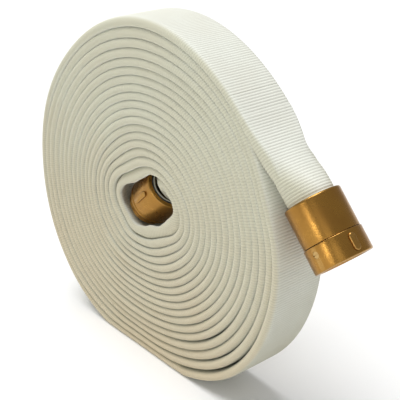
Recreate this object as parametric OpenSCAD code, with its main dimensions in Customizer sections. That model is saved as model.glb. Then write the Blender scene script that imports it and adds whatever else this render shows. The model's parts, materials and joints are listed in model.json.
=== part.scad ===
// A 15 m double-jacket lay-flat fire hose, rolled up and standing on its rim.
// +Z is up and the roll's axis runs along Y. The origin is the centre of the flat that the
// roll rests on. The free end and its swivel coupling are at +X. Millimetres and degrees.

/* [Hose] */
// Width of the hose when it lies flat
hose_flat_w = 70; // [66:1:74]
// Thickness of the flat hose, both walls together
hose_flat_t = 8.4; // [8:0.1:8.6]
// Outside diameter of the hose where a coupling holds it round
hose_od = 49.6; // [48:0.2:49.8]
// Thickness of the outer jacket
outer_jacket_t = 1.7; // [1.5:0.1:1.8]
// Thickness of the inner jacket
inner_jacket_t = 1.5; // [1.3:0.1:1.6]
// Thickness of the rubber liner
liner_t = 1; // [0.8:0.1:1.1]

/* [Roll] */
// Radius of the roll where the free end leaves it
roll_r = 214; // [208:1:220]
// Radius of the space in the middle
hole_r = 52; // [52:0.2:54]
// Number of wound turns, without the stretch round the male coupling
turns = 17.3; // [16:0.1:17.3]
// Height of the roll's centre above the ground, which its own weight has flattened
centre_h = 198; // [196:1:202]
// Where the free end leaves, clockwise from the top and seen from -Y
tail_angle = 46; // [40:1:50]

/* [Free end] */
// Length of hose between the roll and the swivel coupling
tail_len = 98; // [96:1:110]
// How far the coupling's axis stands off the roll's tangent
tail_rise = 2.2; // [2:0.2:6]
// How far the free end lifts before the roll has to turn with it
tail_lift_max = 45; // [20:5:60]

/* [Couplings] */
// Radius of the bowl that holds the hose
bowl_r = 30; // [29:0.5:31]
// Length of the female coupling's bowl
female_bowl_len = 42.5; // [40:0.5:46]
// Length of the male coupling's bowl
male_bowl_len = 46; // [42:0.5:48]
// Depth of the pocket that takes the hose
pocket_depth = 34; // [30:1:36]
// Radius of the waterway
waterway_r = 19; // [18:0.5:19.2]
// Radius of the swivel
swivel_r = 30.9; // [30.5:0.1:32]
// Length of the swivel
swivel_len = 25.5; // [25:0.5:30]
// Open seam between the bowl and the swivel
swivel_seam = 0.6; // [0.4:0.1:1]
// Crest radius of the male thread, nine threads to the inch
male_thread_r = 25.27; // [25:0.01:25.4]
// Length of the male thread
male_thread_len = 14; // [12:0.5:15]
// Crest radius of the female thread
female_thread_r = 23.7; // [23.6:0.01:23.9]
// How far a rocker lug stands out
lug_h = 2.4; // [1.5:0.1:2.6]

/* [Hidden] */

pitch = (roll_r - hole_r) / (turns + 1);
roll_points = 120;
fold_r = hose_flat_t / 2;
cut = 0.5;
chamfer = 1.2;
seam_chamfer = 0.5;
thread_chamfer = 1.5;

// Radii of the hose's layers inside a coupling, from the outside inwards
hose_r = hose_od / 2;
pocket_r = hose_r + 0.1;
inner_jacket_r = hose_r - outer_jacket_t;
liner_r = inner_jacket_r - inner_jacket_t;
ring_r = liner_r - liner_t;
ring_t = 1;
ring_sunk = 1.5;
ring_gap = 1;

// The rubber tail gasket lies at the bottom of the pocket
tail_gasket_t = 2.5;
hose_end_z = pocket_depth - tail_gasket_t;

// The bowl's nose turns in the swivel on a race of balls
nose_r = 24.5;
nose_clearance = 0.06;
nose_len = 12.5;
nose_z = female_bowl_len + nose_len;
ball_r = 2.3;
ball_clearance = 0.06;
ball_count = 28;
ball_z = female_bowl_len + 9;
plug_head_r = 3.5;
plug_stem_r = 2.5;
plug_clearance = 0.05;
plug_turn = 267;
plug_foot = nose_r + ball_r + 0.4;
plug_step = plug_foot + 1.6;
plug_slot_w = 1;
plug_slot_d = 0.9;
plug_sunk = 0.4;
swivel_z = female_bowl_len + swivel_seam;
swivel_end_z = swivel_z + swivel_len;
gasket_seat_r = 25.8;
gasket_seat_end_z = nose_z + 3.6;
swivel_gasket_t = 3.2;

// Rocker lugs, in opposite pairs
lug_w = 7;
lug_count = 2;
female_lug_turn = 191;
male_lug_turn = 276;
female_lug_z = [swivel_z + 4, swivel_end_z - 3.5];
male_lug_z = [11, 36];
male_groove_z = 40.5;
male_groove_w = 1.6;
male_groove_d = 0.8;

// The free end leaves the roll at the hinge and runs straight to its coupling
hinge_d = roll_r - hose_flat_t / 2;
hinge_relief_r = 5.6;
tail_axis_d = hinge_d + tail_rise;
tail_rings = 12;
tail_sides = 24;
tail_gap = 0.1;
// Powers that say how late the hose thickens and narrows on its way to the coupling
thicken_power = 2.2;
narrow_power = 1.6;

// The male coupling lies across the middle, with its mouth up and to the right
male_mouth = [10, 17];
male_tilt = 45;

// Middle line of the hose from the male coupling round to the first turn, as [x, z]
// from the roll's centre
inner_route = [
    [10, 17], [15, 22], [21, 28], [28, 32.5], [35.5, 33], [42, 28],
    [46, 19.5], [48, 9], [48, -2], [46, -13], [41.5, -24], [34, -34],
    [24, -42.5], [11, -48.5], [-3, -51], [-17, -49.5], [-30.5, -43.5],
    [-42, -34], [-50, -22], [-54.5, -9], [-55.5, 4], [-53.5, 17], [-50, 26]
];
inner_sides = 16;
// How far from the mouth the hose is flat again, and how far until it has its full width
flat_again = 26;
wide_again = 60;

// Half thickness and half width of the hose at a distance from a coupling's mouth
function opened(s) = let(k = max(0, 1 - s / flat_again)) fold_r + (hose_r - fold_r) * k * k;
function spread(s) = let(k = max(0, 1 - s / wide_again))
    hose_flat_w / 2 - (hose_flat_w / 2 - hose_r) * k;
// The roundness of the hose's section: 2 is an ellipse and more is squarer
function squareness(half_t) = 2 + 3 * (hose_r - half_t) / (hose_r - fold_r);

// A point on a section of the hose, with the width along Y and the thickness along X
function section_point(turn, half_t, half_w, n) =
    [half_t * sign(cos(turn)) * pow(abs(cos(turn)), 2 / n),
     half_w * sign(sin(turn)) * pow(abs(sin(turn)), 2 / n)];

// Length of a route of points up to point i
function run(route, i) = i == 0 ? 0 : run(route, i - 1) + norm(route[i] - route[i - 1]);
// Direction of a route of points at point i
function heading(route, i) =
    let(a = route[max(i - 1, 0)], b = route[min(i + 1, len(route) - 1)]) (b - a) / norm(b - a);

// A closed skin over rings of points
module skin(rings) {
    sides = len(rings[0]);
    points = [for (r = rings) each r];
    faces = concat(
        [[for (j = [0:sides - 1]) j]],
        [[for (j = [sides - 1:-1:0]) (len(rings) - 1) * sides + j]],
        [for (i = [0:len(rings) - 2]) for (j = [0:sides - 1])
            let(a = i * sides + j, b = i * sides + (j + 1) % sides) each
                [[a, a + sides, b], [b, a + sides, b + sides]]]);
    polyhedron(points, faces);
}

// Puts a part that is drawn along +Z from its mouth onto the female coupling's axis
module on_female() {
    translate([0, 0, centre_h]) rotate([0, 90 + tail_angle, 0])
        translate([-tail_axis_d, 0, tail_len]) children();
}

// The same for the male coupling, whose mouth looks up and right
module on_male() {
    translate([male_mouth[0], 0, centre_h + male_mouth[1]]) rotate([0, -90 - male_tilt, 0]) children();
}

// A tube along +Z
module tube(z0, z1, r_out, r_in) {
    translate([0, 0, z0]) difference() {
        cylinder(h = z1 - z0, r = r_out, $fn = 96);
        translate([0, 0, -cut]) cylinder(h = z1 - z0 + 2 * cut, r = r_in, $fn = 96);
    }
}

// A solid round along +Z with a chamfer at each end
module chamfered(z0, z1, r, c0, c1) {
    rotate_extrude($fn = 96)
        polygon([[0, z0], [r - c0, z0], [r, z0 + c0], [r, z1 - c1], [r - c1, z1], [0, z1]]);
}

// Low capsule-shaped lugs along the axis, evenly spaced round a body of radius r
module lugs(z, r, first_turn) {
    for (i = [0:lug_count - 1]) rotate([0, 0, first_turn + i * 360 / lug_count])
        translate([0, 0, z[0] + lug_w / 2]) rotate([0, 90, 0])
            linear_extrude(r + lug_h) union() {
                circle(d = lug_w, $fn = 48);
                translate([-(z[1] - z[0] - lug_w), 0]) circle(d = lug_w, $fn = 48);
                translate([-(z[1] - z[0] - lug_w), -lug_w / 2]) square([z[1] - z[0] - lug_w, lug_w]);
            }
}

module expansion_ring() {
    tube(ring_sunk, hose_end_z - ring_gap, ring_r, ring_r - ring_t);
}

module tail_gasket() {
    tube(hose_end_z, pocket_depth, hose_r, ring_r);
}

// Side view of one turn of the spiral, which grows by one pitch and closes with a step
module spiral_outline(first_turn, first_r) {
    polygon([for (i = [0:roll_points])
        let(turn = first_turn + 360 * i / roll_points, r = first_r + pitch * i / roll_points)
            [r * sin(turn), r * cos(turn)]]);
}

// The wound turns, as one solid with a flat where the roll rests
module hose_roll() {
    color("ivory") intersection() {
        translate([0, 0, centre_h]) difference() {
            rotate([90, 0, 0]) linear_extrude(hose_flat_w, center = true)
                spiral_outline(tail_angle, roll_r - pitch);
            rotate([90, 0, 0]) linear_extrude(hose_flat_w + 2, center = true)
                spiral_outline(tail_angle - 360 * turns, hole_r);
            rotate([0, tail_angle, 0]) translate([0, 0, hinge_d]) rotate([90, 0, 0])
                cylinder(h = hose_flat_w + 2, r = hinge_relief_r, center = true, $fn = 48);
        }
        translate([-2 * roll_r, -roll_r, 0]) cube([4 * roll_r, 2 * roll_r, 3 * roll_r]);
    }
}

// The innermost stretch, from the male coupling's mouth round to the first turn
module hose_inner_end() {
    color("ivory") translate([0, 0, centre_h]) skin([for (i = [0:len(inner_route) - 1])
        let(p = inner_route[i], d = heading(inner_route, i), s = run(inner_route, i),
            half_t = opened(s), half_w = spread(s))
            [for (j = [0:inner_sides - 1])
                let(q = section_point(360 * (j + 0.5) / inner_sides, half_t, half_w, squareness(half_t)))
                    [p[0] - d[1] * q[0], q[1], p[1] + d[0] * q[0]]]]);
}

// The free stretch, which opens from flat to round on its way to the swivel coupling
module hose_tail() {
    color("ivory") translate([0, 0, centre_h]) rotate([0, 90 + tail_angle, 0])
        skin([for (i = [0:tail_rings])
            let(k = i / tail_rings, half_t = fold_r + (hose_r - fold_r) * pow(k, thicken_power),
                half_w = hose_flat_w / 2 - (hose_flat_w / 2 - hose_r) * pow(k, narrow_power),
                n = squareness(half_t), d = hinge_d + tail_gap + (tail_rise - tail_gap) * k)
                [for (j = [tail_sides - 1:-1:0])
                    let(q = section_point(360 * (j + 0.5) / tail_sides, half_t, half_w, n))
                        [q[0] - d, q[1], tail_len * k]]]);
}

module male_outer_jacket_end() {
    color("ivory") on_male() tube(0, hose_end_z, hose_r, inner_jacket_r);
}

module male_inner_jacket_end() {
    color("white") on_male() tube(0, hose_end_z, inner_jacket_r, liner_r);
}

module male_liner_end() {
    color("dimgray") on_male() tube(0, hose_end_z, liner_r, ring_r);
}

// Bowl, lugs and thread are one brass casting
module male_body() {
    color("darkgoldenrod") on_male() difference() {
        union() {
            chamfered(0, male_bowl_len, bowl_r, chamfer, chamfer);
            chamfered(male_bowl_len - 1, male_bowl_len + male_thread_len, male_thread_r, 0, thread_chamfer);
            lugs(male_lug_z, bowl_r, male_lug_turn);
        }
        translate([0, 0, -cut]) cylinder(h = pocket_depth + cut, r = pocket_r, $fn = 96);
        cylinder(h = male_bowl_len + male_thread_len + cut, r = waterway_r, $fn = 96);
        tube(male_groove_z, male_groove_z + male_groove_w, bowl_r + 1, bowl_r - male_groove_d);
    }
}

module male_tail_gasket() {
    color("black") on_male() tail_gasket();
}

module male_expansion_ring() {
    color("goldenrod") on_male() expansion_ring();
}

module female_outer_jacket_end() {
    color("ivory") on_female() tube(0, hose_end_z, hose_r, inner_jacket_r);
}

module female_inner_jacket_end() {
    color("white") on_female() tube(0, hose_end_z, inner_jacket_r, liner_r);
}

module female_liner_end() {
    color("dimgray") on_female() tube(0, hose_end_z, liner_r, ring_r);
}

// Bowl and nose, with half of the ball race turned into the nose
module female_bowl() {
    color("darkgoldenrod") on_female() difference() {
        union() {
            chamfered(0, female_bowl_len, bowl_r, chamfer, seam_chamfer);
            cylinder(h = nose_z, r = nose_r, $fn = 96);
        }
        translate([0, 0, -cut]) cylinder(h = pocket_depth + cut, r = pocket_r, $fn = 96);
        cylinder(h = nose_z + cut, r = waterway_r, $fn = 96);
        ball_race();
    }
}

module female_tail_gasket() {
    color("black") on_female() tail_gasket();
}

module female_expansion_ring() {
    color("goldenrod") on_female() expansion_ring();
}

// The ring-shaped space that the balls roll in
module ball_race() {
    rotate_extrude($fn = 96) translate([nose_r, ball_z]) circle(r = ball_r + ball_clearance, $fn = 32);
}

// All the balls are one group of separate solids
module swivel_balls() {
    color("silver") on_female()
        for (i = [0:ball_count - 1]) rotate([0, 0, i * 360 / ball_count])
            translate([nose_r, 0, ball_z]) sphere(r = ball_r, $fn = 24);
}

// The turning ring: ball race, gasket seat and female thread inside, two lugs outside
module female_swivel() {
    color("darkgoldenrod") on_female() difference() {
        union() {
            chamfered(swivel_z, swivel_end_z, swivel_r, 0.8, chamfer);
            lugs(female_lug_z, swivel_r, female_lug_turn);
        }
        translate([0, 0, swivel_z - cut])
            cylinder(h = nose_z - swivel_z + cut, r = nose_r + nose_clearance, $fn = 96);
        translate([0, 0, nose_z - 0.1])
            cylinder(h = gasket_seat_end_z - nose_z + 0.1, r = gasket_seat_r, $fn = 96);
        cylinder(h = swivel_end_z + cut, r = female_thread_r, $fn = 96);
        ball_race();
        plug_shape(nose_r, plug_step, swivel_r + 1, plug_clearance);
    }
}

// Head and stem of the plug, or with a clearance the stepped hole it sits in
module plug_shape(r0, r1, r2, clearance) {
    rotate([0, 0, plug_turn]) translate([0, 0, ball_z]) rotate([0, 90, 0]) union() {
        translate([0, 0, r0]) cylinder(h = r2 - r0, r = plug_stem_r + clearance, $fn = 48);
        translate([0, 0, r1]) cylinder(h = r2 - r1, r = plug_head_r + clearance, $fn = 48);
    }
}

// Slotted screw that closes the filling hole of the ball race
module ball_plug() {
    head_r = swivel_r - plug_sunk;
    color("goldenrod") on_female() difference() {
        plug_shape(plug_foot, plug_step + plug_clearance, head_r, 0);
        rotate([0, 0, plug_turn])
            translate([head_r - plug_slot_d, -plug_head_r - 1, ball_z - plug_slot_w / 2])
                cube([2 * plug_slot_d, 2 * plug_head_r + 2, plug_slot_w]);
    }
}

module swivel_gasket() {
    color("black") on_female()
        tube(gasket_seat_end_z - swivel_gasket_t, gasket_seat_end_z, gasket_seat_r - 0.2, waterway_r);
}

hose_roll();
hose_inner_end();
hose_tail();
male_outer_jacket_end();
male_inner_jacket_end();
male_liner_end();
male_body();
male_tail_gasket();
male_expansion_ring();
female_outer_jacket_end();
female_inner_jacket_end();
female_liner_end();
female_bowl();
female_tail_gasket();
female_expansion_ring();
swivel_balls();
female_swivel();
ball_plug();
swivel_gasket();
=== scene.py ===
"""A 15 m double-jacket fire hose, rolled up and standing on its rim, with brass couplings.

Lengths are in millimetres until a mesh is made, angles are in degrees. A turn angle counts
clockwise from the top, seen from -Y, and goes on counting from turn to turn.
"""

import json
import math

import bmesh
import bpy
import numpy as np
from mathutils import Matrix, Vector


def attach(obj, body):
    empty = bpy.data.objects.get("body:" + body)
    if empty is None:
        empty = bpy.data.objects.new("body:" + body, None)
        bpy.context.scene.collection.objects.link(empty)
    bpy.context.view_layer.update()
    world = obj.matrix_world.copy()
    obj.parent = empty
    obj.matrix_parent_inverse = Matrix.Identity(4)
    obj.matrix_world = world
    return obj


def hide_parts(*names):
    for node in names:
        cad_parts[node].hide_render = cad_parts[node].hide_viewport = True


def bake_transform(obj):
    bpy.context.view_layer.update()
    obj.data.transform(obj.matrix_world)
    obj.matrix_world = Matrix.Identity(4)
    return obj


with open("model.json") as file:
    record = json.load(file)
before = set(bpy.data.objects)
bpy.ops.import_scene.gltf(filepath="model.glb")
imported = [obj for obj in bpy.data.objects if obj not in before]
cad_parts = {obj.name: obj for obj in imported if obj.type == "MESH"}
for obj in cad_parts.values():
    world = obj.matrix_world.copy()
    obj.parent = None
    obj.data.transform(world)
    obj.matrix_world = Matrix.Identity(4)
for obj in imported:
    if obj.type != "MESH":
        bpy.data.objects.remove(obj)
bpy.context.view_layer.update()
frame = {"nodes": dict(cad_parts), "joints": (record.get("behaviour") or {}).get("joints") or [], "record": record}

MM = 0.001

# ---------------------------------------------------------------- the hose's dimensions
CENTRE_H = 198.0
ROLL_R = 214.0
HOLE_R = 52.0
WOUND_TURNS = 17.3
PITCH = (ROLL_R - HOLE_R) / (WOUND_TURNS + 1)
TAIL_ANGLE = 46.0
TAIL_LEN = 98.0
TAIL_RISE = 2.2
FLAT_W = 70.0
FLAT_T = 8.4
HOSE_R = 24.8
# A boundary's turn number is 0 where it first passes the tail's angle, and LAST where the tail
# leaves
LAST = 18
END = TAIL_ANGLE + 360 * LAST
# The stretch that wraps the male coupling, in turn angles
WRAP_START = 67.0
WRAP_END = 380.0

# The woven ribs: spacing, rings of vertices in each, and height from valley to crest
RIB = 3.1
RINGS_A_RIB = 4
RIB_H = 0.5

# The least space between turns, and the greatest thickness of a turn: the innermost ones, the
# middle ones, the outermost ones, and those at the angle where the outermost hang loose
GAP = 0.3
PUFFED_T = 12.5
LOOSE_T = 9.6
SLACK_T = 11.6
HANGING_T = FLAT_T + 2
LOOSE_AT = 130
LOOSE_BREADTH = 34

joints = {j["name"]: j for j in frame["joints"]}
mounts = {m["name"]: m for m in frame["record"]["mounts"]}


def smooth(x):
    """Rises smoothly from 0 to 1 as x does."""
    x = np.clip(x, 0, 1)
    return x * x * (3 - 2 * x)


def linked(name, data):
    """A new object with this mesh, light or camera, in the scene."""
    obj = bpy.data.objects.new(name, data)
    bpy.context.scene.collection.objects.link(obj)
    return obj


def shade_smooth(mesh):
    mesh.polygons.foreach_set("use_smooth", np.ones(len(mesh.polygons), bool))


def through(points, x):
    """Smooth values at x through given (x, value) points."""
    px = np.array([p[0] for p in points], float)
    py = np.array([p[1] for p in points], float)
    slope = np.gradient(py, px)
    x = np.clip(x, px[0], px[-1])
    i = np.clip(np.searchsorted(px, x, side="right") - 1, 0, len(px) - 2)
    h = px[i + 1] - px[i]
    f = (x - px[i]) / h
    return (
        (2 * f**3 - 3 * f**2 + 1) * py[i]
        + (f**3 - 2 * f**2 + f) * h * slope[i]
        + (3 * f**2 - 2 * f**3) * py[i + 1]
        + (f**3 - f**2) * h * slope[i + 1]
    )


# ---------------------------------------------------------------- how the turns lie
# How far the turns stand outside an even spiral, at every 45 degrees clockwise from the top.
# The roll is unevenly wound and sags, so its top and bottom are drawn in and its right side
# stands out.
PACKING_TURN = [0.5, 1.5, 3, 6, 10, 13, 15.5, 16.2, 17.1, 17.8]
PACKING = np.array([
    [-16, -4, 8, -6, -12, -9.5, -6, -14.5],
    [-13.5, -4, 7.5, -5.5, -10, -6, -2, -14],
    [-12.5, -4, 6, -5.5, -10, -3, -2.5, -14.5],
    [-13, -2, 5.5, -5, -10, -0.5, -4.5, -15.5],
    [-12.5, -1, 6, -4.5, -11.5, 0, -6, -15.5],
    [-10.5, 2.5, 6.5, -1.5, -10, 3, -3.5, -13.5],
    [-7.5, 3, 7.2, 5, -8, 7, -1, -10.5],
    [-5.5, 1.5, 8.5, 8, -6, 9.5, 1, -9],
    [-3, 0.3, 9, 12.5, -2, 9, 0.5, -8.3],
    [0, 0, 9, 13, -2, 9, 0, -8],
])

# The outer turns are drawn in round this angle, so that they stay clear of the hanging coupling
PRESSED_AT = 70
PRESSED_BREADTH = 13
PRESSED = 4.5

# Waves in the edges of the innermost turns: turn angle, breadth, and how far they bulge
NEAR_WAVES = [(140, 24, -8), (208, 10, 4), (322, 31, -15)]
FAR_WAVES = [(118, 26, -9), (236, 12, 3), (300, 26, -11)]
WAVE_FADE = 0.6
# In the middle of the hose's width the turns are pushed outwards by the coupling's thread end
CORE_WAVES = [(198, 24, 10), (262, 22, 9)]
CORE_FADE = 0.85

# Thickness of the edge of the innermost stretch, which the coupling keeps puffed: turn angle, mm
EDGE_T = [
    (40, 8.5), (72, 9), (82, 12), (90, 20), (98, 25), (112, 24), (126, 18), (140, 17), (156, 20),
    (180, 19), (206, 18), (226, 17), (250, 15), (268, 13), (288, 16), (305, 16), (335, 15),
    (360, 14.5), (375, 10), (387, 9), (400, 9),
]
CORE_T = 8.8


def packing(turn_angle):
    """The packing table at these turn angles, smooth round the roll and from turn to turn."""
    n = (turn_angle - TAIL_ANGLE) / 360
    x = (turn_angle % 360) / 45
    i = np.floor(x).astype(int)
    f = x - i
    out = []
    for row in PACKING:
        p0, p1, p2, p3 = (row[(i + k) % 8] for k in (-1, 0, 1, 2))
        cubic = 3 * (p1 - p2) + p3 - p0
        out.append(p1 + 0.5 * f * (p2 - p0 + f * (2 * p0 - 5 * p1 + 4 * p2 - p3 + f * cubic)))
    j = np.clip(np.searchsorted(PACKING_TURN, n, side="right") - 1, 0, len(PACKING_TURN) - 2)
    turns = np.array(PACKING_TURN)
    k = np.clip((n - turns[j]) / (turns[j + 1] - turns[j]), 0, 1)
    table = np.array(out)
    index = np.indices(n.shape)
    low = table[(j, *index)]
    high = table[(j + 1, *index)]
    away = (turn_angle % 360) - PRESSED_AT
    pressed = PRESSED * np.exp(-((away / PRESSED_BREADTH) ** 2)) * smooth((n - 10) / 7)
    return low + (high - low) * smooth(k) - pressed


def waves(turn_angle, bumps):
    """The sum of bumps given as turn angle, breadth and height, the same in every turn."""
    total = 0
    for at, breadth, height in bumps:
        away = (turn_angle - at + 180) % 360 - 180
        total = total + height * np.exp(-0.5 * (away / breadth) ** 2)
    return total


def lower_of(a, b, soft):
    """The lower of two values, with a soft corner."""
    h = np.clip(0.5 + 0.5 * (b - a) / soft, 0, 1)
    return b * (1 - h) + a * h - soft * h * (1 - h)


def outside(turn_angle, y):
    """Radius of the hose's outer surface at a turn angle and a place across its width."""
    n = (turn_angle - TAIL_ANGLE) / 360
    edge = np.minimum(np.abs(y) / (FLAT_W / 2), 1.1) ** 2
    side = np.where(y < 0, waves(turn_angle, NEAR_WAVES), waves(turn_angle, FAR_WAVES))
    r = (
        ROLL_R - PITCH * (LAST - n) + packing(turn_angle)
        + edge * side * WAVE_FADE ** np.maximum(n, 0)
        + (1 - edge) * waves(turn_angle, CORE_WAVES) * CORE_FADE ** np.maximum(n, 0)
    )
    # Each turn lies flat on the one below it, down to the floor
    below = np.floor((END - turn_angle) / 360)
    lean = np.radians((turn_angle % 360) - 180)
    flat = np.where(
        np.abs(lean) < 0.9, (CENTRE_H - 0.2 - FLAT_T * below) / np.maximum(np.cos(lean), 0.3), 1e3
    )
    return lower_of(r, flat, 0.6 + 0.25 * np.minimum(below, 6))


def inside(turn_angle, y):
    """Radius of the hose's inner surface.

    It is the turn below it, or the greatest thickness away where that is further in.
    """
    n = (turn_angle - TAIL_ANGLE) / 360
    out = outside(turn_angle, y)
    edge = np.minimum(np.abs(y) / (FLAT_W / 2), 1.1) ** 2
    free = out - (CORE_T + (through(EDGE_T, turn_angle) - CORE_T) * edge)
    limit = PUFFED_T + (LOOSE_T - PUFFED_T) * smooth((n - 1) / 3)
    limit = limit + (SLACK_T - LOOSE_T) * smooth(n - 14)
    # The outermost turns hang loose low on the right, with gaps between them
    loose = np.exp(-((((turn_angle % 360) - LOOSE_AT) / LOOSE_BREADTH) ** 2)) * smooth(n - 15)
    limit = limit + (HANGING_T - limit) * loose
    wound = np.maximum(outside(turn_angle - 360, y) + GAP, out - limit)
    return np.where(turn_angle < WRAP_END, free, wound)


# ---------------------------------------------------------------- meshes from rings
def fold_section(flats, folds):
    """A flat hose's section as three lists, outer side first: across, out and fold.

    across runs from -1 to 1 between the folds, out is 1 on the outer side and -1 on the inner,
    and fold is how far a point stands out round a fold.
    """
    across = list(np.linspace(-1, 1, flats))
    out = [1.0] * flats
    fold = [0.0] * flats
    for k in range(1, folds):
        a = math.pi * k / folds
        across.append(1.0)
        out.append(math.cos(a))
        fold.append(math.sin(a))
    across += list(np.linspace(1, -1, flats))
    out += [-1.0] * flats
    fold += [0.0] * flats
    for k in range(1, folds):
        a = math.pi * k / folds
        across.append(-1.0)
        out.append(-math.cos(a))
        fold.append(-math.sin(a))
    return np.array(across), np.array(out), np.array(fold)


def around(across, out, fold):
    """Distance round a flat section to each point, ending with the whole way round."""
    y = across * (FLAT_W / 2 - FLAT_T / 2) + fold * FLAT_T / 2
    z = out * FLAT_T / 2
    step = np.hypot(np.diff(np.append(y, y[0])), np.diff(np.append(z, z[0])))
    return np.concatenate([[0], np.cumsum(step)])


def rib(along):
    """Height of the woven ribs across the hose at a distance along it, from 0 to 1."""
    return np.abs(np.sin(np.pi * along / RIB)) ** 0.8


def piece_from_rings(name, points, along, round_way, material):
    """A closed tube through rings of points, with its length and its girth as UV coordinates."""
    rings, sides = points.shape[:2]
    vertices = points.reshape(-1, 3) * MM
    i = np.arange(rings - 1)[:, None]
    j = np.arange(sides)[None, :]
    k = (j + 1) % sides
    quads = np.stack(
        [i * sides + j, (i + 1) * sides + j, (i + 1) * sides + k, i * sides + k], -1
    ).reshape(-1, 4)
    u = np.stack([along[:-1], along[1:], along[1:], along[:-1]], -1)[:, None, :] + 0 * j[..., None]
    v = np.stack([round_way[:-1], round_way[:-1], round_way[1:], round_way[1:]], -1)
    v = v[None] + 0 * i[..., None]
    uv = np.stack([u, v], -1).reshape(-1, 2) * MM
    caps = np.concatenate([np.arange(sides), (rings - 1) * sides + np.arange(sides)[::-1]])
    cap_uv = np.stack([
        np.repeat([along[0], along[-1]], sides),
        np.concatenate([round_way[:-1], round_way[:-1][::-1]]),
    ], -1) * MM

    mesh = bpy.data.meshes.new(name)
    mesh.vertices.add(len(vertices))
    mesh.vertices.foreach_set("co", vertices.astype(np.float32).ravel())
    mesh.loops.add(quads.size + caps.size)
    mesh.loops.foreach_set("vertex_index", np.concatenate([quads.ravel(), caps]).astype(np.int32))
    mesh.polygons.add(len(quads) + 2)
    starts = np.concatenate([np.arange(len(quads)) * 4, quads.size + np.array([0, sides])])
    mesh.polygons.foreach_set("loop_start", starts.astype(np.int32))
    mesh.uv_layers.new(name="along_and_round")
    mesh.update(calc_edges=True)
    mesh.validate()
    layer = mesh.uv_layers["along_and_round"]
    layer.data.foreach_set("uv", np.concatenate([uv, cap_uv]).astype(np.float32).ravel())
    shade_smooth(mesh)
    mesh.set_sharp_from_angle(angle=math.radians(70))
    mesh.materials.append(material)
    return linked(name, mesh)


# ---------------------------------------------------------------- nodes for the materials
class Nodes:
    """Short names for the shader nodes that the materials need."""

    def __init__(self, name):
        self.material = bpy.data.materials.new(name)
        self.material.use_nodes = True
        self.tree = self.material.node_tree
        self.shader = self.tree.nodes["Principled BSDF"]

    def node(self, kind, values=(), **settings):
        made = self.tree.nodes.new(kind)
        for key, value in settings.items():
            setattr(made, key, value)
        for key, value in dict(values).items():
            if isinstance(value, bpy.types.NodeSocket):
                self.tree.links.new(value, made.inputs[key])
            else:
                made.inputs[key].default_value = value
        return made

    def maths(self, operation, a, b=0.0, c=0.0):
        return self.node("ShaderNodeMath", {0: a, 1: b, 2: c}, operation=operation).outputs[0]

    def mapped(self, value, low, high, to_low, to_high):
        made = self.node("ShaderNodeMapRange", {
            "Value": value, "From Min": low, "From Max": high, "To Min": to_low, "To Max": to_high,
        })
        return made.outputs["Result"]

    def noise(self, vector, scale, detail=3.0, roughness=0.5):
        made = self.node(
            "ShaderNodeTexNoise",
            {"Vector": vector, "Scale": scale, "Detail": detail, "Roughness": roughness},
        )
        return made.outputs["Fac"]

    def mix(self, share, a, b, blend="MIX"):
        made = self.node("ShaderNodeMix", data_type="RGBA", blend_type=blend)
        for index, value in ((0, share), (6, a), (7, b)):
            if isinstance(value, bpy.types.NodeSocket):
                self.tree.links.new(value, made.inputs[index])
            else:
                made.inputs[index].default_value = value
        return made.outputs[2]

    def bump(self, height, strength, distance):
        made = self.node(
            "ShaderNodeBump", {"Height": height, "Strength": strength, "Distance": distance}
        )
        return made.outputs["Normal"]

    def set(self, **values):
        for key, value in values.items():
            socket = self.shader.inputs[key.replace("_", " ")]
            if isinstance(value, bpy.types.NodeSocket):
                self.tree.links.new(value, socket)
            else:
                socket.default_value = value
        return self.material


WARP = 1.5
WOVEN = (0.87, 0.89, 0.81, 1)
# Painted shade for the roll's flat faces
WOVEN_SIDE_SHADE = (0.60, 0.60, 0.47, 1)
WOVEN_TAN = (0.60, 0.49, 0.32, 1)
# Painted shade low on the roll's outer band
WOVEN_LOW_SHADE = (0.29, 0.28, 0.17, 1)
# Painted shade in the valleys of the weave
WOVEN_VALLEY_SHADE = (0.36, 0.34, 0.27, 1)


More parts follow.
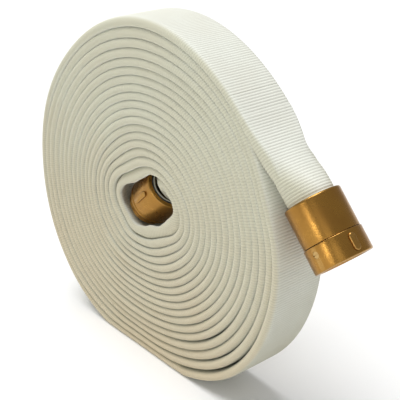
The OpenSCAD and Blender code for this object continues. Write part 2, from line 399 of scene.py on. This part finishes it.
def woven_jacket():
    """Off-white polyester: ribs of weft across the hose, crossed by finer warp along it."""
    n = Nodes("woven_jacket")
    uv = n.node("ShaderNodeUVMap", uv_map="along_and_round").outputs["UV"]
    part = n.node("ShaderNodeSeparateXYZ", {"Vector": uv})
    weft = n.maths("DIVIDE", part.outputs["X"], RIB * MM)
    ribs = n.maths("ABSOLUTE", n.maths("SINE", n.maths("MULTIPLY", weft, math.pi)))
    warp = n.maths("DIVIDE", part.outputs["Y"], WARP * MM)
    odd = n.maths("MULTIPLY", n.maths("FLOOR", weft), 0.5)
    shifted = n.maths("MULTIPLY", n.maths("ADD", warp, odd), math.pi)
    yarns = n.maths("ABSOLUTE", n.maths("SINE", shifted))
    fine = n.noise(uv, 900.0, 2.0)
    weave = n.maths("ADD", n.maths("MULTIPLY", ribs, 0.6), n.maths("MULTIPLY", yarns, 0.4))
    place = n.node("ShaderNodeNewGeometry").outputs["Position"]
    blotch = n.noise(place, 9.0, 4.0, 0.6)
    height = n.node("ShaderNodeSeparateXYZ", {"Vector": place}).outputs["Z"]
    side = n.maths("ABSOLUTE", n.node(
        "ShaderNodeSeparateXYZ", {"Vector": n.node("ShaderNodeNewGeometry").outputs["Normal"]}
    ).outputs["Y"])
    # Towards the floor, below 30 cm and in blotches, the colour changes: painted shade on the roll's outer band,
    # and a tan tint on its faces
    low = n.maths(
        "MULTIPLY", n.mapped(height, 0.30, 0.0, 0.0, 0.9), n.mapped(blotch, 0.2, 0.8, 0.6, 1.0)
    )
    # Painted shade: the roll's flat faces, which look along Y, are mixed towards a darker beige
    on_side = n.mapped(side, 0.2, 0.8, 0.0, 1.0)
    colour = n.mix(on_side, WOVEN, WOVEN_SIDE_SHADE)
    colour = n.mix(low, colour, n.mix(on_side, WOVEN_LOW_SHADE, WOVEN_TAN))
    colour = n.mix(n.mapped(blotch, 0.35, 0.75, 0.0, 0.2), colour, WOVEN_TAN)
    # Painted shade in the valleys between the weave's ribs and yarns
    colour = n.mix(n.mapped(weave, 0.15, 0.6, 0.6, 0.0), colour, WOVEN_VALLEY_SHADE)
    bumps = n.maths("ADD", weave, n.maths("MULTIPLY", fine, 0.35))
    return n.set(
        Base_Color=colour,
        Roughness=n.mapped(fine, 0.2, 0.8, 0.82, 0.95),
        Normal=n.bump(bumps, 0.55, 0.0004),
        Sheen_Weight=0.15,
        Sheen_Roughness=0.5,
        Specular_IOR_Level=0.25,
    )


BRASS = (0.37, 0.19, 0.04, 1)
BRASS_DARK = (0.27, 0.13, 0.03, 1)


def brass(name, tint, dark, low, high):
    """Satin machined brass, tarnished a little in blotches, with a fine speckled grain."""
    n = Nodes(name)
    place = n.node("ShaderNodeNewGeometry").outputs["Position"]
    blotch = n.noise(place, 60.0, 5.0, 0.65)
    speck = n.noise(place, 700.0, 2.0, 0.6)
    edges = n.node("ShaderNodeNewGeometry").outputs["Pointiness"]
    colour = n.mix(n.mapped(blotch, 0.4, 0.7, 0.0, 0.5), tint, dark)
    # Painted highlight: the sharp convex edges are mixed towards a bright brass
    colour = n.mix(n.mapped(edges, 0.52, 0.58, 0.0, 0.5), colour, (0.85, 0.6, 0.25, 1))
    rough = n.maths(
        "ADD", n.mapped(blotch, 0.3, 0.7, low, high), n.mapped(speck, 0.3, 0.7, -0.04, 0.04)
    )
    return n.set(
        Base_Color=colour,
        Metallic=1.0,
        Roughness=rough,
        Normal=n.bump(speck, 0.35, 0.0003),
    )


def rubber(name, tone):
    """Matt rubber with a little dust. The outer jacket's cut edge gets it too, as painted shade."""
    n = Nodes(name)
    place = n.node("ShaderNodeNewGeometry").outputs["Position"]
    dust = n.noise(place, 250.0, 4.0, 0.6)
    colour = n.mix(n.mapped(dust, 0.45, 0.75, 0.0, 0.3), tone, (0.16, 0.15, 0.13, 1))
    return n.set(
        Base_Color=colour,
        Roughness=n.mapped(dust, 0.3, 0.7, 0.55, 0.8),
        Normal=n.bump(dust, 0.2, 0.0002),
    )


def steel():
    n = Nodes("ball_steel")
    place = n.node("ShaderNodeNewGeometry").outputs["Position"]
    fine = n.noise(place, 1500.0, 2.0)
    return n.set(
        Base_Color=n.mix(fine, (0.55, 0.55, 0.56, 1), (0.68, 0.68, 0.69, 1)),
        Metallic=1.0,
        Roughness=n.mapped(fine, 0.3, 0.7, 0.18, 0.3),
    )


jacket_material = woven_jacket()
brass_material = brass("cast_brass", BRASS, BRASS_DARK, 0.24, 0.36)
# Painted shade: the outer jacket's cut edge at each mouth is near-black, for the shadowed gap between hose and
# bowl
edge_shade_material = rubber("jacket_edge_shade", (0.03, 0.03, 0.03, 1))
# Painted shade: a darker copy of the brass for the ball plug
plug_shade_material = brass("plug_brass_shade", (0.26, 0.135, 0.035, 1), (0.15, 0.075, 0.02, 1), 0.4, 0.5)
ring_material = brass("ring_brass", (0.62, 0.40, 0.12, 1), (0.4, 0.24, 0.07, 1), 0.22, 0.34)
gasket_material = rubber("gasket_rubber", (0.02, 0.02, 0.02, 1))
liner_material = rubber("liner_rubber", (0.035, 0.035, 0.035, 1))
ball_material = steel()


# ---------------------------------------------------------------- the hose
def flat_place(angle):
    """Unit vector out from the roll's axis at a turn angle, as (x, z)."""
    a = np.radians(angle)
    return np.stack([np.sin(a), np.cos(a)], -1)


def middle_at(turn_angle):
    """Radius of the middle of the hose's thickness, 20 mm to one side of the roll's middle."""
    y = np.full_like(turn_angle, 20.0)
    return 0.5 * (outside(turn_angle, y) + inside(turn_angle, y))


# Turn angle and distance along the hose, measured down the middle of its thickness
fine_angle = np.arange(WRAP_START, END + 0.01, 0.25)
middle = middle_at(fine_angle)
steps = np.hypot(np.diff(middle), np.radians(0.25) * 0.5 * (middle[1:] + middle[:-1]))
wound_along = np.concatenate([[0], np.cumsum(steps)])

# Route of the first stretch, from the male coupling's mouth to the wrap, as [x, z]
MOUTH_TO_THREAD = 53
male_axis = np.array(mounts["male_thread"]["axis"])[[0, 2]]
male_thread_at = np.array(mounts["male_thread"]["pos_m"])[[0, 2]] / MM
male_mouth = male_thread_at - male_axis * MOUTH_TO_THREAD - [0, CENTRE_H]
wrap_first = flat_place(WRAP_START) * middle[0]
wrap_next = flat_place(WRAP_START + 12) * np.interp(WRAP_START + 12, fine_angle, middle)
LEAD = [[15, 22], [20.5, 27.5], [27, 31.5], [34, 31.5], [40, 27]]
lead_points = np.array([male_mouth - male_axis * -3, male_mouth, *LEAD, wrap_first, wrap_next])
lead_run = np.concatenate([[0], np.cumsum(np.hypot(*np.diff(lead_points, axis=0).T))])
lead_fine = np.linspace(lead_run[1], lead_run[-2], 400)
lead_line = np.stack(
    [through(list(zip(lead_run, lead_points[:, k])), lead_fine) for k in (0, 1)], -1
)
lead_along = np.concatenate([[0], np.cumsum(np.hypot(*np.diff(lead_line, axis=0).T))])
LEAD_LEN = lead_along[-1]
WOUND_LEN = wound_along[-1]

# Half thickness of the first stretch, and half width from the mouth on
LEAD_THICK = [(0, 24.6), (3, 22), (8, 15), (15, 8.5), (24, 5), (34, 4.3), (60, 4.25)]
LEAD_WIDE = [(0, 24.6), (10, 27), (25, 30.5), (45, 33.5), (70, 35), (90, 35)]

# Half thickness and half width of the free end, by the distance from the hinge
TAIL_THICK = [
    (-40, 4.2), (0, 4.4), (20, 5.6), (45, 9.6), (70, 16.6), (86, 22), (94, 24.2), (98, 24.5),
]
TAIL_WIDE = [
    (-40, 35), (0, 35), (20, 34.8), (42, 33.8), (62, 31.8), (78, 29), (88, 26.6), (98, 24.5),
]
# On its far side the free end is drawn in, where its wall creases before it opens
TAIL_FAR = [
    (-40, 1), (0, 1), (16, 0.97), (32, 0.87), (44, 0.78), (50, 0.79), (60, 0.88), (74, 0.97),
    (98, 1),
]


def sway(along):
    """How far the hose lies to one side of the roll's middle."""
    return 0.45 * np.sin(along / 143) + 0.3 * np.sin(along / 61 + 1) + 0.2 * np.sin(along / 27 + 2)


def with_ribs(points, normal_out, normal_y, along):
    """Lifts the points of a ring by the ribs of the weave."""
    lift = (rib(along)[:, None] - 0.5) * RIB_H
    points[..., 0] += lift * normal_out[..., 0]
    points[..., 2] += lift * normal_out[..., 1]
    points[..., 1] += lift * normal_y
    return points


def wound_rings(first, last, flats, folds):
    """Rings of the wound hose between two distances along it, and those distances."""
    step = RIB / RINGS_A_RIB
    count_from, count_to = math.ceil(first / step - 1e-6), math.floor(last / step + 1e-6)
    along = np.arange(count_from, count_to + 1) * step
    angle = np.interp(along - LEAD_LEN, wound_along, fine_angle)
    across, out, fold = fold_section(flats, folds)
    wide = through(LEAD_WIDE, along)
    near_fold = np.full_like(angle, -34.0)
    half_t = 0.5 * (outside(angle, near_fold) - inside(angle, near_fold))
    reach = np.minimum(half_t, 8.5) * 1.1
    y = across[None] * (wide - reach)[:, None] + fold[None] * reach[:, None]
    at = np.repeat(angle[:, None], len(across), 1)
    r_out, r_in = outside(at, y), inside(at, y)
    radius = 0.5 * (r_out + r_in) + out[None] * 0.5 * (r_out - r_in)
    place = flat_place(at)
    points = np.stack([
        place[..., 0] * radius, y + sway(along)[:, None], CENTRE_H + place[..., 1] * radius,
    ], -1)
    ends = np.abs(fold)[None] + 0 * y
    normal_out = place * (out[None] * np.sqrt(1 - 0.9 * ends**2))[..., None]
    return with_ribs(points, normal_out, np.sign(fold)[None] * ends, along), along


def free_rings(line, out_way, along, half_t, half_w, far, round_share, flats, folds):
    """Rings of a hose that opens between flat and round, square to the line it follows.

    far is how much of its half width the hose has on its far side.
    """
    across, out, fold = fold_section(flats, folds)
    share = around(across, out, fold)
    turn = 2 * np.pi * share[:-1] / share[-1] - np.pi * share[flats // 2] / share[-1] * 2
    reach = np.minimum(half_t * 0.85, half_w)
    y_flat = across[None] * (half_w - reach)[:, None] + fold[None] * reach[:, None]
    o_flat = out[None] * half_t[:, None]
    y_round = np.sin(turn)[None] * half_w[:, None]
    o_round = np.cos(turn)[None] * half_t[:, None]
    k = round_share[:, None]
    y = y_flat * (1 - k) + y_round * k
    o = o_flat * (1 - k) + o_round * k
    y = np.where(y > 0, y * far[:, None], y)
    points = np.stack([
        line[:, None, 0] + out_way[:, None, 0] * o,
        y + sway(along)[:, None] * (1 - k),
        CENTRE_H + line[:, None, 1] + out_way[:, None, 1] * o,
    ], -1)
    size = np.hypot(o / half_t[:, None], y / half_w[:, None]) + 1e-9
    normal_out = out_way[:, None] * (o / half_t[:, None] / size)[..., None]
    normal_y = y / half_w[:, None] / size * np.abs(y / half_w[:, None]) ** 3
    return with_ribs(points, normal_out, normal_y, along)


# Points across the flat side of a section and round its fold
FINE = (13, 9)
PLAIN = (5, 6)
MIDDLE_SHARES = 4
# How far before the hinge the free end's piece begins
LAP = 24


def on_a_rib(along):
    return round(along / RIB) * RIB


def hose_pieces():
    """The hose in pieces that meet in its ribs: those on the roll, and the free end."""
    step = RIB / RINGS_A_RIB
    made = []

    # From the mouth to the wrap, then once and a half round
    along = np.arange(0, math.floor(LEAD_LEN / step) + 1) * step
    line = np.stack([np.interp(along, lead_along, lead_line[:, k]) for k in (0, 1)], -1)
    heading = np.gradient(line, axis=0)
    heading /= np.linalg.norm(heading, axis=1)[:, None]
    square = np.stack([-heading[:, 1], heading[:, 0]], -1)
    radial = line / np.linalg.norm(line, axis=1)[:, None]
    k = smooth((along - LEAD_LEN + 22) / 22)[:, None]
    out_way = square * (1 - k) + radial * k
    out_way /= np.linalg.norm(out_way, axis=1)[:, None]
    half_t = through(LEAD_THICK, along)
    lead = free_rings(
        line, out_way, along, half_t, through(LEAD_WIDE, along), np.ones_like(along),
        smooth((half_t - 4.6) / 16), *FINE,
    )
    pinch = np.exp(-((along / 9) ** 2))[:, None]
    lead[..., 1] = lead[..., 1] * (1 - 0.14 * pinch) + 3.2 * pinch
    wrap_len = on_a_rib(np.interp(WRAP_END + 150, fine_angle, wound_along) + LEAD_LEN)
    wrap, wrap_along = wound_rings(along[-1] + step, wrap_len, *FINE)
    round_way = around(*fold_section(*FINE))
    made.append(piece_from_rings(
        "hose_inner_wrap", np.concatenate([lead, wrap]), np.concatenate([along, wrap_along]),
        round_way, jacket_material,
    ))

    # The middle turns, in shares of about the same length
    outer_start = on_a_rib(np.interp(END - 560, fine_angle, wound_along) + LEAD_LEN)
    cuts = [
        on_a_rib(wrap_len + (outer_start - wrap_len) * i / MIDDLE_SHARES)
        for i in range(MIDDLE_SHARES + 1)
    ]
    for i in range(MIDDLE_SHARES):
        rings, at = wound_rings(cuts[i], cuts[i + 1], *PLAIN)
        made.append(piece_from_rings(
            f"hose_turns_{i + 1}", rings, at, around(*fold_section(*PLAIN)), jacket_material
        ))

    # The outermost turn and a half, up to a little before the hinge
    hinge_along = LEAD_LEN + WOUND_LEN
    tail_start = math.floor((hinge_along - LAP) / RIB) * RIB
    rings, at = wound_rings(outer_start, tail_start, *FINE)
    made.append(piece_from_rings("hose_outer_turn", rings, at, round_way, jacket_material))

    # The free end: its first rings still lie on the roll
    lying, at = wound_rings(tail_start, hinge_along, *FINE)
    straight = np.arange(at[-1] + step, hinge_along + TAIL_LEN - 0.2, step)
    straight = np.append(straight, hinge_along + TAIL_LEN)
    past = straight - hinge_along
    down = np.array(joints["swivel_spin"]["axis"])[[0, 2]]
    up = np.array([-down[1], down[0]])
    start = up * middle_at(np.array([END]))
    mouth = up * (ROLL_R - FLAT_T / 2 + TAIL_RISE) + down * TAIL_LEN
    rise = smooth(past / TAIL_LEN)[:, None]
    line = start + down * past[:, None] + (mouth - start - down * TAIL_LEN) * rise
    half_t = through(TAIL_THICK, past)
    half_w = through(TAIL_WIDE, past)
    free = free_rings(
        line, np.repeat(up[None], len(past), 0), straight, half_t, half_w,
        through(TAIL_FAR, past), smooth((half_t - 4.6) / 15), *FINE,
    )
    tail = piece_from_rings(
        "hose_free_end", np.concatenate([lying, free]), np.concatenate([at, straight]),
        round_way, jacket_material,
    )
    return made, tail


# ---------------------------------------------------------------- turned brass parts
def local_frame(origin, axis):
    """A coupling's own frame: Z along its axis from the mouth, Y along the roll's axis."""
    z = Vector(axis).normalized()
    y = Vector((0, 1, 0))
    x = y.cross(z)
    return Matrix.Translation(Vector(origin)) @ Matrix((x, y, z)).transposed().to_4x4()


def rounded(corners, steps=4):
    """A profile of (z, r, corner radius) points, with each corner rounded."""
    out = []
    count = len(corners)
    for i, (z, r, radius) in enumerate(corners):
        p = np.array([z, r], float)
        if radius <= 0:
            out.append(p)
            continue
        a = np.array(corners[i - 1][:2], float) - p
        b = np.array(corners[(i + 1) % count][:2], float) - p
        la, lb = np.linalg.norm(a), np.linalg.norm(b)
        half = 0.5 * math.acos(np.clip(a @ b / la / lb, -1, 1))
        cut = min(radius / math.tan(half), 0.49 * la, 0.49 * lb)
        start, end = p + a / la * cut, p + b / lb * cut
        for k in range(steps + 1):
            t = k / steps
            out.append(start * (1 - t) ** 2 + p * 2 * t * (1 - t) + end * t * t)
    return np.array(out)


def densified(profile, marks, step):
    """The closed profile with extra points where it runs inside the marked stretch of z."""
    out = []
    low, high, side = marks
    for a, b in zip(profile, np.roll(profile, -1, axis=0)):
        out.append(a)
        length = np.linalg.norm(b - a)
        mid = 0.5 * (a + b)
        if low - 0.01 <= mid[0] <= high + 0.01 and abs(mid[1] - side) < 1.5 and length > step:
            count = int(length / step)
            out += [a + (b - a) * k / count for k in range(1, count)]
    return np.array(out)


THREAD_PITCH = 25.4 / 9


def thread_depth(z, turn, low, high, depth):
    """How deep a right-hand thread cuts at a height and a turn, fading at its ends."""
    phase = (z / THREAD_PITCH - turn / 360) % 1
    ridge = np.clip(1.25 - np.abs(phase - 0.5) * 3.0, 0, 1)
    share = np.clip((z - low) / 1.2, 0, 1) * np.clip((high - z) / 1.2, 0, 1)
    return depth * (1 - ridge) * share


def turned(name, profile, place, material, thread=None, sides=144):
    """A closed profile turned round the local Z axis, with a helical thread if one is given."""
    if thread:
        low, high, side, depth, sign = thread
        profile = densified(profile, (low, high, side), THREAD_PITCH / 12)
    turn = np.arange(sides) * 360 / sides
    z = profile[:, 0][None] + 0 * turn[:, None]
    r = profile[:, 1][None] + 0 * turn[:, None]
    if thread:
        near = np.abs(r - side) < 0.3
        r = r + sign * np.where(near, thread_depth(z, turn[:, None], low, high, depth), 0)
    a = np.radians(turn)[:, None]
    points = np.stack([r * np.cos(a), r * np.sin(a), z], -1).reshape(-1, 3)
    count = len(profile)
    i = np.arange(sides)[:, None]
    j = np.arange(count)[None]
    i2, j2 = (i + 1) % sides, (j + 1) % count
    quads = np.stack(
        [i * count + j, i2 * count + j, i2 * count + j2, i * count + j2], -1
    ).reshape(-1, 4)
    mesh = bpy.data.meshes.new(name)
    mesh.from_pydata((points * MM).tolist(), [], quads.tolist())
    mesh.transform(place)
    shade_smooth(mesh)
    mesh.update()
    mesh.materials.append(material)
    return linked(name, mesh)


def outward(obj):
    """Turns every face of a closed mesh outwards."""
    b = bmesh.new()
    b.from_mesh(obj.data)
    bmesh.ops.recalc_face_normals(b, faces=b.faces)
    b.to_mesh(obj.data)
    b.free()


def lug(name, place, low, high, body_r, height, width, turn):
    """A raised rocker lug: a capsule along the axis with a rolled edge, sunk into the body."""
    rows = [
        (-2.5, 0.0), (height - 1.0, 0.0), (height - 0.55, 0.12), (height - 0.2, 0.42),
        (height, 0.95),
    ]
    ends = 12
    outline = []
    for k in range(ends + 1):
        a = math.pi * k / ends
        outline.append((high - width / 2, math.cos(a), math.sin(a)))
    for k in range(ends + 1):
        a = math.pi + math.pi * k / ends
        outline.append((low + width / 2, math.cos(a), math.sin(a)))
    points, count = [], len(outline)
    for up, inset in rows:
        half = width / 2 - inset
        for z, c, s in outline:
            side = c * half
            out = math.sqrt((body_r + up) ** 2 - side**2)
            points.append((out, side, z + s * half))
    points.append((body_r + height, 0, (low + high) / 2))
    faces = []
    for i in range(len(rows) - 1):
        for j in range(count):
            k = (j + 1) % count
            faces.append((i * count + j, i * count + k, (i + 1) * count + k, (i + 1) * count + j))
    top = (len(rows) - 1) * count
    faces += [(top + j, top + (j + 1) % count, len(points) - 1) for j in range(count)]
    faces.append(tuple(reversed(range(count))))
    mesh = bpy.data.meshes.new(name)
    mesh.from_pydata([tuple(c * MM for c in p) for p in points], [], faces)
    mesh.transform(place @ Matrix.Rotation(math.radians(turn), 4, "Z"))
    obj = linked(name, mesh)
    outward(obj)
    return obj


def round_tool(name, place, turn, z, r0, r1, radius):
    """A short round bar that points out from the axis, to cut a hole with."""
    points, faces, count = [], [], 40
    for out in (r0, r1):
        for k in range(count):
            a = 2 * math.pi * k / count
            points.append((out * MM, radius * math.cos(a) * MM, (z + radius * math.sin(a)) * MM))
    for k in range(count):
        m = (k + 1) % count
        faces.append((k, m, count + m, count + k))
    faces += [tuple(reversed(range(count))), tuple(range(count, 2 * count))]
    mesh = bpy.data.meshes.new(name)
    mesh.from_pydata(points, [], faces)
    mesh.transform(place @ Matrix.Rotation(math.radians(turn), 4, "Z"))
    obj = linked(name, mesh)
    outward(obj)
    return obj


def combined(obj, tool, operation):
    """Joins the tool to the piece or cuts it away, and removes the tool."""
    modifier = obj.modifiers.new(operation.lower(), "BOOLEAN")
    modifier.operation = operation
    modifier.solver = "EXACT"
    modifier.object = tool
    mesh = bpy.data.meshes.new_from_object(obj.evaluated_get(bpy.context.evaluated_depsgraph_get()))
    obj.modifiers.clear()
    obj.data = mesh
    bpy.data.objects.remove(tool)


def finished(obj, material):
    """Smooth faces with sharp corners, and the piece's only material."""
    obj.data.materials.clear()
    obj.data.materials.append(material)
    obj.data.polygons.foreach_set("material_index", np.zeros(len(obj.data.polygons), np.int32))
    shade_smooth(obj.data)
    obj.data.set_sharp_from_angle(angle=math.radians(38))
    obj.data.update()


# ---------------------------------------------------------------- couplings
# Radii from a coupling's axis (_R) and places along it from the mouth (_Z, _END)
BOWL_R = 30.0
POCKET_R = HOSE_R + 0.1
POCKET_DEPTH = 34.0
WATERWAY_R = 19.0
FEMALE_BOWL_LEN = 42.5
MALE_BOWL_LEN = 46.0
NOSE_R = 24.5
NOSE_Z = FEMALE_BOWL_LEN + 12.5
SWIVEL_R = 30.9
SWIVEL_Z = FEMALE_BOWL_LEN + 0.6
SWIVEL_END = SWIVEL_Z + 25.5
SEAT_R = 25.8
SEAT_END = NOSE_Z + 3.6
BALL_Z = FEMALE_BOWL_LEN + 9
RACE_R = 2.36
FEMALE_THREAD_R = 23.7
MALE_THREAD_R = 25.27
MALE_END = MALE_BOWL_LEN + 14
LUG_H = 2.4
LUG_W = 7.0
FEMALE_LUG_TURN = 191
MALE_LUG_TURN = 276
PLUG_TURN = 267
PLUG_R = 3.5
PLUG_SEAT = NOSE_R + 2.3 + 0.4 + 1.6

swivel_axis = Vector(joints["swivel_spin"]["axis"])
hinge_up = Vector((-swivel_axis.z, 0, swivel_axis.x))
female_origin = (
    Vector(joints["tail_lift"]["pos_m"]) + swivel_axis * TAIL_LEN * MM + hinge_up * TAIL_RISE * MM
)
female_place = local_frame(female_origin, swivel_axis)
male_place = local_frame(
    (male_mouth[0] * MM, 0, (CENTRE_H + male_mouth[1]) * MM), mounts["male_thread"]["axis"]
)


def race_arc(side, wall):
    """Half of the ball race's round groove, cut into the nose or into the swivel's bore."""
    arc = []
    for k in range(9):
        a = math.pi * k / 8
        arc.append((BALL_Z - side * RACE_R * math.cos(a), wall - side * RACE_R * math.sin(a), 0))
    return arc


def female_bowl():
    """The casting that holds the free end of the hose."""
    profile = rounded([
        (0, POCKET_R, 0.5), (0, BOWL_R, 2.2), (FEMALE_BOWL_LEN, BOWL_R, 0.5),
        (FEMALE_BOWL_LEN, NOSE_R, 0), *race_arc(1, NOSE_R), (NOSE_Z, NOSE_R, 0.4),
        (NOSE_Z, WATERWAY_R, 0.4), (POCKET_DEPTH, WATERWAY_R, 0), (POCKET_DEPTH, POCKET_R, 0),
    ])
    obj = turned("brass_bowl_female", profile, female_place, brass_material)
    outward(obj)
    finished(obj, brass_material)
    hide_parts("female_bowl")
    return obj


def female_swivel():
    """The ring that turns on the bowl's nose. Its bore clears the nose as it turns."""
    bore = NOSE_R + 0.1
    profile = rounded([
        (SWIVEL_Z, bore, 0), (SWIVEL_Z, SWIVEL_R, 0.8), (SWIVEL_END, SWIVEL_R, 1.6),
        (SWIVEL_END, FEMALE_THREAD_R + 1.9, 0.5), (SWIVEL_END - 1.6, FEMALE_THREAD_R, 0),
        (SEAT_END, FEMALE_THREAD_R, 0), (SEAT_END, SEAT_R, 0), (NOSE_Z, SEAT_R, 0),
        (NOSE_Z, bore, 0), *reversed(race_arc(-1, bore)),
    ])
    obj = turned(
        "brass_swivel", profile, female_place, brass_material,
        (SEAT_END + 0.1, SWIVEL_END - 1.2, FEMALE_THREAD_R, 1.5, 1),
    )
    outward(obj)
    for i in range(2):
        combined(obj, lug(
            f"lug_{i}", female_place, SWIVEL_Z + 4, SWIVEL_END - 3.5, SWIVEL_R, LUG_H, LUG_W,
            FEMALE_LUG_TURN + 180 * i,
        ), "UNION")
    combined(obj, round_tool(
        "hole", female_place, PLUG_TURN, BALL_Z, PLUG_SEAT, SWIVEL_R + 3, PLUG_R + 0.12
    ), "DIFFERENCE")
    finished(obj, brass_material)
    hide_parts("female_swivel")
    return obj


def male_body():
    """The coupling in the middle of the roll, one casting with its thread."""
    profile = rounded([
        (0, POCKET_R, 0.5), (0, BOWL_R, 1.4), (40.5, BOWL_R, 0.3), (40.9, BOWL_R - 0.8, 0.3),
        (41.7, BOWL_R - 0.8, 0.3), (42.1, BOWL_R, 0.3), (MALE_BOWL_LEN, BOWL_R, 1.2),
        (MALE_BOWL_LEN, MALE_THREAD_R, 0.3), (MALE_END - 1.4, MALE_THREAD_R, 0),
        (MALE_END, MALE_THREAD_R - 1.9, 0.4), (MALE_END, WATERWAY_R, 0.5),
        (POCKET_DEPTH, WATERWAY_R, 0), (POCKET_DEPTH, POCKET_R, 0),
    ])
    obj = turned(
        "brass_body_male", profile, male_place, brass_material,
        (MALE_BOWL_LEN + 1.4, MALE_END - 0.8, MALE_THREAD_R, 1.5, -1),
    )
    outward(obj)
    for i in range(2):
        combined(obj, lug(
            f"lug_{i}", male_place, 11, 36, BOWL_R, LUG_H, LUG_W, MALE_LUG_TURN + 180 * i
        ), "UNION")
    finished(obj, brass_material)
    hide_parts("male_body")
    return obj


# ---------------------------------------------------------------- put it together
turn_pieces, free_end = hose_pieces()
for piece in turn_pieces:
    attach(piece, "roll")
    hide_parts("hose_inner_end" if piece.name == "hose_inner_wrap" else "hose_roll")
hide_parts("hose_tail")
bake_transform(free_end)

bowl = female_bowl()
swivel = female_swivel()
body = male_body()
for piece, rides_on in ((bowl, "free_end"), (swivel, "swivel"), (body, "roll")):
    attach(piece, rides_on)

CAD_FINISH = {
    # The outer jacket's end gets painted shade, and the ball plug a darker copy of the brass as painted shade
    "outer_jacket_end": edge_shade_material, "inner_jacket_end": jacket_material,
    "liner_end": liner_material, "tail_gasket": gasket_material,
    "expansion_ring": ring_material, "swivel_balls": ball_material,
    "ball_plug": plug_shade_material, "swivel_gasket": gasket_material,
}
for node, shown in frame["nodes"].items():
    for ending, material in CAD_FINISH.items():
        if node.endswith(ending):
            shown.data.materials.clear()
            shown.data.materials.append(material)

for piece in [*turn_pieces, free_end]:
    uv = np.zeros(len(piece.data.loops) * 2, np.float32)
    piece.data.uv_layers["along_and_round"].data.foreach_get("uv", uv)

# ---------------------------------------------------------------- stage, light and camera
floor_mesh = bpy.data.meshes.new("floor")
corners = [(-60, -60, 0), (60, -60, 0), (60, 60, 0), (-60, 60, 0)]
floor_mesh.from_pydata(corners, [], [(0, 1, 2, 3)])
floor = linked("floor", floor_mesh)
floor_nodes = Nodes("floor")
floor_place = floor_nodes.node("ShaderNodeNewGeometry").outputs["Position"]
floor_tone = floor_nodes.mix(
    floor_nodes.noise(floor_place, 0.6), (0.93, 0.93, 0.93, 1), (0.95, 0.95, 0.95, 1)
)
floor_mesh.materials.append(floor_nodes.set(Base_Color=floor_tone, Roughness=0.9))

world = bpy.data.worlds.new("studio")
world.use_nodes = True
world.node_tree.nodes["Background"].inputs["Color"].default_value = (1, 1, 1, 1)
world.node_tree.nodes["Background"].inputs["Strength"].default_value = 0.42
bpy.context.scene.world = world
bpy.context.scene.view_settings.view_transform = "Standard"


def softbox(name, place, target, size, watts):
    light = bpy.data.lights.new(name, "AREA")
    light.shape = "DISK"
    light.size = size
    light.energy = watts
    obj = linked(name, light)
    obj.location = place
    obj.rotation_euler = (Vector(target) - Vector(place)).to_track_quat("-Z", "Y").to_euler()


key = bpy.data.lights.new("key", "SUN")
key.energy = 2.5
key.angle = math.radians(45)
key_light = linked("key", key)
key_light.rotation_euler = Vector((-0.3, -0.14, 1)).to_track_quat("Z", "Y").to_euler()
softbox("fill", (0.27, -1.95, 0.5), (0.2, 0, 0.25), 0.36, 4)
softbox("side", (1.15, -1.4, 1.0), (0, 0, 0.2), 0.9, 1.5)

# The camera looks from this azimuth and elevation to LOOK_AT, then turns by PAN
AZIMUTH = 51.84
ELEVATION = 25.96
DISTANCE = 1.0721
LENS = 83.78
LOOK_AT = Vector((-0.0045, -0.035, 0.187))
PAN = (-3.71, -0.63)

azimuth, elevation = math.radians(AZIMUTH), math.radians(ELEVATION)
back = Vector((
    math.sin(azimuth) * math.cos(elevation),
    -math.cos(azimuth) * math.cos(elevation),
    math.sin(elevation),
))
camera_data = bpy.data.cameras.new("camera")
camera_data.lens = LENS
camera = linked("camera", camera_data)
camera.location = LOOK_AT + back * DISTANCE
camera.rotation_euler = (
    (-back).to_track_quat("-Z", "Y").to_matrix().to_4x4()
    @ Matrix.Rotation(math.radians(PAN[0]), 4, "Y")
    @ Matrix.Rotation(math.radians(-PAN[1]), 4, "X")
).to_euler()
bpy.context.scene.camera = camera
